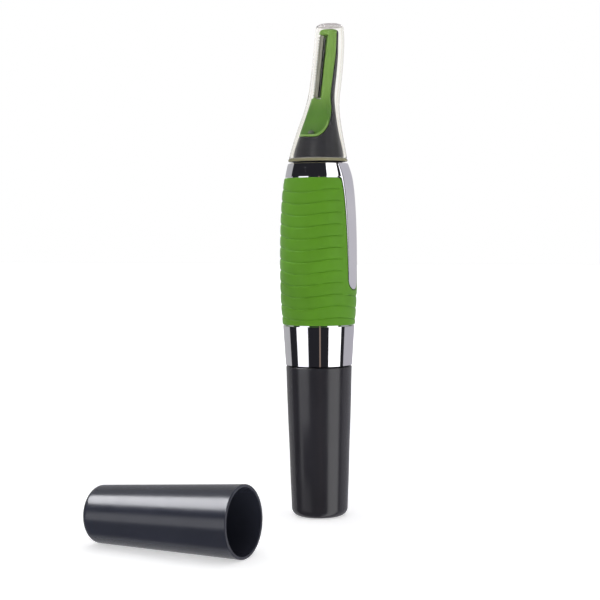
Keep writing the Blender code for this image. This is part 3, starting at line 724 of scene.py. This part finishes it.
def make_blades(look, shade_painted_look):
    """The fixed comb and, behind it, the blade that slides along it."""
    comb = blade_prism(toothed(-1.2, -1.55, -0.05, COMB_HALF), *COMB_FACES)
    # The sliding blade's steel is painted nearly black, a painted shade for the gap beside the comb
    blade = blade_prism(toothed(-1.05, -1.4, 0.25, BLADE_HALF), *BLADE_FACES)
    comb = make("comb_plate", comb, look, "handle", ["fixed_comb"])
    blade = make("cutter_plate", blade, shade_painted_look, "cutter", ["moving_blade"])
    for plate in (comb, blade):
        bevel(plate, 0.06, segments=2)


def make_lamp(look):
    """The lamp's lens: a flange, a stem and a dome that shows in the scoop."""
    dome = arc((0.0, 0.0), 1.0, 0, 90, 10)
    outline = [(0, 102.4), (1.15, 102.4), (1.15, 103.0), (LAMP_RADIUS, 103.0)]
    outline += [(LAMP_RADIUS * side, LAMP_DOME + LAMP_RADIUS * up) for side, up in dome[:-1]]
    outline.append((0, LAMP_DOME + LAMP_RADIUS))
    make("lamp_lens", lathe(outline, 48, LAMP_PLACE), look, "handle", ["led"])


def make_guard(look):
    """A leaning thin-walled cover with a round top and a lip at its foot."""
    tip = GUARD[-1][0]
    wall = GUARD_WALL
    rise = GUARD_TOP - tip
    heights = spread(GUARD[0][0], tip, 72)
    outer = [oval(GUARD, height) for height in heights]
    inner = [oval(GUARD, height, wall) for height in heights]
    for side, up in arc((0.0, 0.0), 1.0, 10, 90, 9):
        outer.append(oval(GUARD, tip, 1.3 * (1 - side), level=tip + rise * up))
        inner.append(oval(GUARD, tip, wall + 1.0 * (1 - side), level=tip + (rise - wall) * up))
    lip = arc((LIP_RADIUS - 0.3, LIP_BOTTOM + 0.3), 0.3, -90, 0, 5)
    lip += arc((LIP_RADIUS - 0.3, LIP_TOP - 0.3), 0.3, 0, 90, 5)
    foot = [circle(LIP_RADIUS - LIP_WALL, height, OVAL_STEPS) for height in (LIP_TOP - 0.1, LIP_BOTTOM)]
    foot += [circle(radius, height, OVAL_STEPS) for radius, height in lip]
    make("guard_cover", skin(inner[::-1] + foot + outer), look, "guard", ["head_guard"], smooth=40)


# ---------------------------------------------------------------- handle

def make_tube(look):
    """The plated tube: a flared band below the grip and a shouldered collar above it."""
    band = turned_curve([(TUBE_BOTTOM + 0.1, 9.43), (48.3, 9.76), (53.0, 10.06), (54.25, 10.12)], 16)
    collar = turned_curve([(SEAT_TOP, 9.27), (97.4, 9.07), (98.8, 8.77), (TUBE_TOP - 0.12, 8.5)], 12)
    outline = [(SOCKET_BORE, TUBE_BOTTOM), (9.27, TUBE_BOTTOM)] + band
    outline += [(10.07, SEAT_BOTTOM), (SEAT_RADIUS, SEAT_BOTTOM), (SEAT_RADIUS, SEAT_TOP)] + collar
    outline += [(8.3, TUBE_TOP), (7.4, TUBE_TOP), (COLLAR_BORE, TUBE_TOP - 0.15)]
    outline += [(COLLAR_BORE, COLLAR_STEP), (TUBE_BORE, COLLAR_STEP)]
    outline += [(TUBE_BORE, SOCKET_TOP), (SOCKET_BORE, SOCKET_TOP)]
    tube = make("plated_tube", lathe(outline), look, "handle", ["main_tube"], smooth=35)
    cut(tube, block((-NOTCH_HALF, 6.0, 95.8), (NOTCH_HALF, 13.0, 104.2)))
    return tube


def smoothstep(low, high, value):
    """0 below low, 1 above high, and an even curve between."""
    share = min(max((value - low) / (high - low), 0.0), 1.0)
    return share * share * (3 - 2 * share)


def grip_radius(x, y, height, unwaved):
    """The pillowed surface: narrow grooves that fade out beside the clip and at both ends."""
    base = between(GRIP, height)[0]
    share = (unwaved - FIRST_GROOVE) / GROOVE_PITCH
    if share < -0.5 or share > GROOVES - 0.5:
        return base
    nearest = abs(share - round(share)) * 2
    depth = GROOVE_DEPTH * (0.7 * (1 - nearest) ** 9 + 0.3 * (1 - nearest) ** 2)
    if y > 0 and height > CLIP_BOTTOM - 1.5:
        depth *= smoothstep(NOTCH_HALF + 0.2, NOTCH_HALF + 1.6, abs(x))
    return base - depth


def make_grip(look):
    """The rubber sleeve: waved rows of points, rounded ends, a plain bore and a notch for the clip."""
    steps, edge = GRIP_STEPS, GRIP_EDGE
    low, high = GRIP[0][0], GRIP[-1][0]
    valleys = [FIRST_GROOVE + i * GROOVE_PITCH for i in range(GROOVES)]
    rows = [valley + row for valley in valleys for row in GROOVE_ROWS]
    rows = [low + edge] + rows + [high - edge]
    rings = []
    for row in rows:
        ring = []
        fade = smoothstep(low + edge, low + 2.5, row) * (1 - smoothstep(high - 3.0, high - edge, row))
        for i in range(steps):
            angle = 2 * math.pi * i / steps
            cos, sin = math.cos(angle), math.sin(angle)
            height = row + fade * WAVE_HEIGHT * math.cos(WAVES_ROUND * (angle - WAVE_CREST))
            radius = grip_radius(10 * cos, 10 * sin, height, row)
            ring.append((radius * cos, radius * sin, height))
        rings.append(ring)
    foot, top = between(GRIP, low + edge)[0], between(GRIP, high - edge)[0]
    lower = [circle(foot - edge + r, low + edge + z, steps) for r, z in arc((0.0, 0.0), edge, -90, -15, 5)]
    upper = [circle(top - edge + r, high - edge + z, steps) for r, z in arc((0.0, 0.0), edge, 15, 90, 5)]
    bore = [circle(GRIP_BORE, high, steps), circle(GRIP_BORE, low, steps)]
    sleeve = skin(lower + rings + upper + bore, closed=True)
    grip = make("rubber_grip", sleeve, look, "handle", ["grip_sleeve"], smooth=60)

    wide, top = NOTCH_HALF + NOTCH_FLARE, high - NOTCH_FLARE
    notch = arc((0, CLIP_END), NOTCH_END, 180, 360, 32)
    notch += arc((wide, top), NOTCH_FLARE, 180, 90, 10) + [(wide, high + 2), (-wide, high + 2)]
    notch += arc((-wide, top), NOTCH_FLARE, 90, 0, 10)
    cut(grip, prism(notch, ORIGIN, X_AXIS, Z_AXIS, Y_AXIS, 8.0, 14.0))
    return grip


def make_clip(look):
    """A sprung plate that follows the body, round at its lower end."""
    low, high = CLIP[0][0], CLIP[-1][0]
    heights = [CLIP_END - CLIP_HALF[0] * math.cos(math.radians(a)) for a in spread(4, 90, 22)]
    heights += spread(CLIP_END, high, 60)[1:]
    rings = []
    for height in heights:
        share = max(0.0, (height - CLIP_END) / (high - CLIP_END))
        half = CLIP_HALF[0] + (CLIP_HALF[1] - CLIP_HALF[0]) * share
        if height < CLIP_END:
            half = math.sqrt(CLIP_HALF[0] ** 2 - (CLIP_END - height) ** 2)
        outer = between(CLIP, max(height, low))[0]
        row = spread(-half, half, 24)
        front = [(x, math.sqrt(outer ** 2 - x ** 2), height) for x in row]
        back = [(x, math.sqrt((outer - CLIP_THICK) ** 2 - x ** 2), height) for x in reversed(row)]
        rings.append(front + back)
    clip = make("pocket_clip", skin(rings), look, "clip", ["clip"], smooth=40)
    return bevel(clip, 0.14, segments=3, angle=50)


# ---------------------------------------------------------------- barrel and cap

FOOT_RADIUS = 8.0
FOOT_EDGE = 2.2
BARREL = [(FOOT_EDGE, FOOT_RADIUS), (6.3, 8.15), (11.4, 8.35), (19.9, 8.6), (28.3, 8.93), (36.8, 9.2),
          (42.5, 9.35)]
BARREL_TOP = 42.75
BARREL_BORE = 6.3
BARREL_FLOOR = 2.3
BARREL_EDGE = 0.25           # rounding of the barrel's and the neck's upper edges
NECK_RADIUS = 7.1
NECK_TOP = 50.6
GROOVE_RADIUS = 6.75         # the seal's groove
GROOVE_BOTTOM, GROOVE_TOP = 44.2, 45.4


def make_barrel(look):
    """A tapered barrel with a rounded foot and a neck that carries the seal."""
    edge = BARREL_EDGE
    outline = [(0, 0)] + arc((FOOT_RADIUS - FOOT_EDGE, FOOT_EDGE), FOOT_EDGE, -90, -4, 16)
    outline += turned_curve(BARREL, 40) + arc((BARREL[-1][1] - edge, BARREL_TOP - edge), edge, 15, 90, 5)
    outline += [(NECK_RADIUS, BARREL_TOP), (NECK_RADIUS, GROOVE_BOTTOM), (GROOVE_RADIUS, GROOVE_BOTTOM)]
    outline += [(GROOVE_RADIUS, GROOVE_TOP), (NECK_RADIUS, GROOVE_TOP)]
    outline += arc((NECK_RADIUS - edge, NECK_TOP - edge), edge, 0, 90, 4)
    outline += [(BARREL_BORE, NECK_TOP), (BARREL_BORE, BARREL_FLOOR), (0, BARREL_FLOOR)]
    return make("battery_barrel", lathe(outline), look, "barrel", ["barrel"], smooth=35)


CAP_LENGTH = 44.5
CAP_RIM = 9.3                # outer radius at the mouth
CAP_END = 7.5                # outer radius at the closed end
CAP_WALL = 0.8
CAP_EDGE = 2.0               # rounding of the closed end
CAP_PLACE = (57.3, -16.3)    # middle of the cap on the floor
CAP_YAW = math.radians(87)


def make_cap(look):
    """A tapered cup that lies on its side, its outer wall along the floor."""
    def radius(length):
        return CAP_END + (CAP_RIM - CAP_END) * length / CAP_LENGTH

    outline = [(0, 0)] + arc((radius(CAP_EDGE) - CAP_EDGE, CAP_EDGE), CAP_EDGE, -90, 0, 14)
    outline += [(radius(length), length) for length in spread(CAP_EDGE, CAP_LENGTH - 0.5, 24)[1:]]
    outline += arc((CAP_RIM - 0.3, CAP_LENGTH - 0.3), 0.3, 0, 90, 5)
    outline += arc((CAP_RIM - CAP_WALL + 0.25, CAP_LENGTH - 0.25), 0.25, 90, 180, 5)
    outline += [(radius(CAP_EDGE) - CAP_WALL, CAP_EDGE + 0.6)]
    outline += arc((radius(0) - 2 * CAP_WALL - 0.9, CAP_WALL + 1.2), 1.2, 0, -90, 6) + [(0, CAP_WALL)]
    cap = make("loose_cap", lathe(outline), look, None, smooth=35)
    taper = math.atan((CAP_RIM - CAP_END) / CAP_LENGTH)
    run = CAP_LENGTH / 2 * math.cos(taper)
    place = Vector((CAP_PLACE[0] - run * math.cos(CAP_YAW), CAP_PLACE[1] - run * math.sin(CAP_YAW),
                    CAP_END * math.cos(taper)))
    turn = Matrix.Rotation(CAP_YAW, 4, "Z") @ Matrix.Rotation(math.pi / 2 - taper, 4, "Y")
    cap.data.transform(Matrix.Translation(place * MM) @ turn)
    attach(cap, "travel_cap")
    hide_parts("travel_cap")


# ---------------------------------------------------------------- floor, light and camera

VIEW_TURN = math.radians(115)    # the camera stands this far round, from -Y toward +X
VIEW_DISTANCE = 400.0
VIEW_SIDE = -5.3                 # how far the camera stands to the side of the trimmer
VIEW_HEIGHT = 80.0
VIEW_DROP = math.radians(2.654)  # how far it looks down
VIEW_ROLL = math.radians(-0.36)
LENS = 84.5                      # on a sensor 36 wide

TO_CAMERA = Vector((math.sin(VIEW_TURN), -math.cos(VIEW_TURN), 0.0))
TO_RIGHT = Vector((math.cos(VIEW_TURN), math.sin(VIEW_TURN), 0.0))


def make_camera():
    """A camera almost level with the trimmer, with the scoop turned toward it."""
    bpy.context.scene.view_settings.view_transform = "Standard"
    data = bpy.data.cameras.new("camera")
    data.lens = LENS
    data.sensor_width = 36.0
    data.clip_start = 0.01
    data.clip_end = 20.0
    camera = bpy.data.objects.new("camera", data)
    bpy.context.scene.collection.objects.link(camera)
    place = TO_CAMERA * VIEW_DISTANCE + TO_RIGHT * VIEW_SIDE + Vector((0.0, 0.0, VIEW_HEIGHT))
    camera.location = place * MM
    level = math.cos(VIEW_DROP)
    aim = Vector((-TO_CAMERA.x * level, -TO_CAMERA.y * level, -math.sin(VIEW_DROP)))
    camera.rotation_mode = "QUATERNION"
    look = aim.to_track_quat("-Z", "Y")
    camera.rotation_quaternion = look @ Matrix.Rotation(VIEW_ROLL, 3, "Z").to_quaternion()
    bpy.context.scene.camera = camera


# Soft boxes of the studio: degrees to the right of the camera where each starts and ends, the sines of
# its lowest and highest elevation, and its light
WARM = (0.34, 0.25, 0.2)
SOFT_BOXES = [
    (-180.0, -110.0, -1.0, 1.0, (0.49, 0.49, 0.5)),
    (92.0, 180.0, -1.0, 1.0, (0.49, 0.48, 0.52)),
    (-78.0, -37.0, -0.225, 0.2, (1.5, 1.5, 1.55)),
    (32.0, 77.0, -1.0, 0.6, (1.9, 1.9, 1.9)),
    (1.0, 5.0, -0.3, 0.1, WARM),
]
DARK_CARD = (0.02, 0.02, 0.024)      # what stands between the boxes
# A bright strip high on the left, seen only in gloss, so that it doesn't flatten the shading
HIGH_STRIP = (-115.0, -40.0, 0.56, 0.88, (12.0, 12.0, 12.4))


class Studio:
    """The world's nodes, with short calls for the shapes of its soft boxes."""

    def __init__(self):
        world = bpy.data.worlds.new("studio")
        bpy.context.scene.world = world
        world.use_nodes = True
        self.nodes, self.links = world.node_tree.nodes, world.node_tree.links
        self.nodes.clear()
        coords = self.nodes.new("ShaderNodeTexCoord")
        turn = self.nodes.new("ShaderNodeMapping")
        # Turned so that the camera's direction becomes +X, and the right of it +Y
        turn.inputs["Rotation"].default_value = (0.0, 0.0, -math.atan2(TO_CAMERA.y, TO_CAMERA.x))
        self.links.new(coords.outputs["Generated"], turn.inputs["Vector"])
        parts = self.nodes.new("ShaderNodeSeparateXYZ")
        self.links.new(turn.outputs["Vector"], parts.inputs["Vector"])
        self.height = parts.outputs["Z"]
        self.angle = self.math("ARCTAN2", parts.outputs["Y"], parts.outputs["X"])

    def math(self, operation, first, second):
        node = self.nodes.new("ShaderNodeMath")
        node.operation = operation
        self.links.new(first, node.inputs[0])
        self.links.new(second, node.inputs[1])
        return node.outputs["Value"]

    def rise(self, source, start, width):
        """0 below start, 1 above it, over a soft edge."""
        node = self.nodes.new("ShaderNodeMapRange")
        node.interpolation_type = "SMOOTHSTEP"
        node.inputs["From Min"].default_value = start - width
        node.inputs["From Max"].default_value = start + width
        self.links.new(source, node.inputs["Value"])
        return node.outputs["Result"]

    def window(self, source, low, high, width):
        """1 between low and high, and 0 outside."""
        return self.math("SUBTRACT", self.rise(source, low, width), self.rise(source, high, width))

    def add(self, colour, factor, light):
        """Lay a light over a colour where the factor is 1."""
        node = self.nodes.new("ShaderNodeMix")
        node.data_type = "RGBA"
        self.links.new(factor, node.inputs["Factor"])
        if isinstance(colour, tuple):
            node.inputs["A"].default_value = (*colour, 1.0)
        else:
            self.links.new(colour, node.inputs["A"])
        node.inputs["B"].default_value = (*light, 1.0)
        return node.outputs["Result"]


def make_world():
    """White to the camera and through clear plastic, a studio of soft boxes to all else."""
    studio = Studio()
    ray = studio.nodes.new("ShaderNodeLightPath")
    colour = DARK_CARD
    for start, end, low, high, light in SOFT_BOXES + [HIGH_STRIP]:
        across = studio.window(studio.angle, math.radians(start), math.radians(end), 0.012)
        upward = studio.window(studio.height, low, high, 0.02)
        inside = studio.math("MULTIPLY", across, upward)
        if light == HIGH_STRIP[-1]:
            inside = studio.math("MULTIPLY", inside, ray.outputs["Is Glossy Ray"])
        colour = studio.add(colour, inside, light)
    light = studio.nodes.new("ShaderNodeBackground")
    studio.links.new(colour, light.inputs["Color"])
    white = studio.nodes.new("ShaderNodeBackground")
    white.inputs["Color"].default_value = (1.0, 1.0, 1.0, 1.0)
    seen = studio.math("MAXIMUM", ray.outputs["Is Camera Ray"], ray.outputs["Is Transmission Ray"])
    choose = studio.nodes.new("ShaderNodeMixShader")
    studio.links.new(seen, choose.inputs["Fac"])
    studio.links.new(light.outputs["Background"], choose.inputs[1])
    studio.links.new(white.outputs["Background"], choose.inputs[2])
    output = studio.nodes.new("ShaderNodeOutputWorld")
    studio.links.new(choose.outputs["Shader"], output.inputs["Surface"])


def area_light(name, place, aim, size, watts):
    """A rectangular light that leaves no reflection of its own."""
    data = bpy.data.lights.new(name, "AREA")
    data.shape = "RECTANGLE"
    data.size, data.size_y = size[0] * MM, size[1] * MM
    data.energy = watts
    lamp = bpy.data.objects.new(name, data)
    lamp.location = Vector(place) * MM
    lamp.rotation_mode = "QUATERNION"
    lamp.rotation_quaternion = (Vector(aim) * MM - lamp.location).to_track_quat("-Z", "Y")
    lamp.visible_glossy = False
    bpy.context.scene.collection.objects.link(lamp)
    return lamp


# Distance from the trimmer and brightness of the floor: brighter far off, so that the horizon fades to white
FLOOR_NEAR = (150, 0.52)
FLOOR_FAR = (600, 0.9)
FLOOR_HALF = 3000.0
FLOOR_GAP = 0.05


def make_stage():
    """A pale floor that glows a little, and two soft lights."""
    look = Look("white_floor", (0.9, 0.9, 0.9), 0.7)
    look.shader.inputs["Emission Color"].default_value = (1.0, 1.0, 1.0, 1.0)
    reach = look.nodes.new("ShaderNodeVectorMath")
    reach.operation = "LENGTH"
    look.links.new(look.coords.outputs["Object"], reach.inputs[0])
    glow = look.nodes.new("ShaderNodeMapRange")
    for end, (distance, brightness) in (("Min", FLOOR_NEAR), ("Max", FLOOR_FAR)):
        glow.inputs["From " + end].default_value = distance * MM
        glow.inputs["To " + end].default_value = brightness
    look.links.new(reach.outputs["Value"], glow.inputs["Value"])
    look.links.new(glow.outputs["Result"], look.shader.inputs["Emission Strength"])
    bm = bmesh.new()
    bmesh.ops.create_grid(bm, x_segments=1, y_segments=1, size=FLOOR_HALF)
    floor = make("floor", bm, look.mat)
    floor.location.z = -FLOOR_GAP * MM
    floor.visible_glossy = False
    above = area_light("overhead", Z_AXIS * 700, TO_CAMERA * 30, (700.0, 700.0), 1.6)
    front_place = TO_CAMERA * 500 - TO_RIGHT * 250 + Z_AXIS * 420
    front = area_light("front", front_place, Z_AXIS * 60, (300.0, 300.0), 0.6)


# ---------------------------------------------------------------- the trimmer

def build():
    """Dress what the CAD shows, then put the finer shapes over it and light them."""
    looks = make_looks()
    dress_frame(looks)
    make_shell(looks["black_gloss"])
    make_holder(looks["green_holder"])
    # The cutter's nearly black steel is painted shade for the gap beside the comb
    make_blades(looks["steel"], metal("painted_shade_steel", (0.1, 0.1, 0.1), 0.4))
    make_lamp(lamp_look())
    make_guard(looks["clear"])
    make_tube(looks["chrome"])
    make_grip(looks["green_rubber"])
    make_clip(looks["clip_chrome"])
    make_barrel(barrel_look())
    make_cap(cap_look())
    make_camera()
    make_world()
    make_stage()


build()
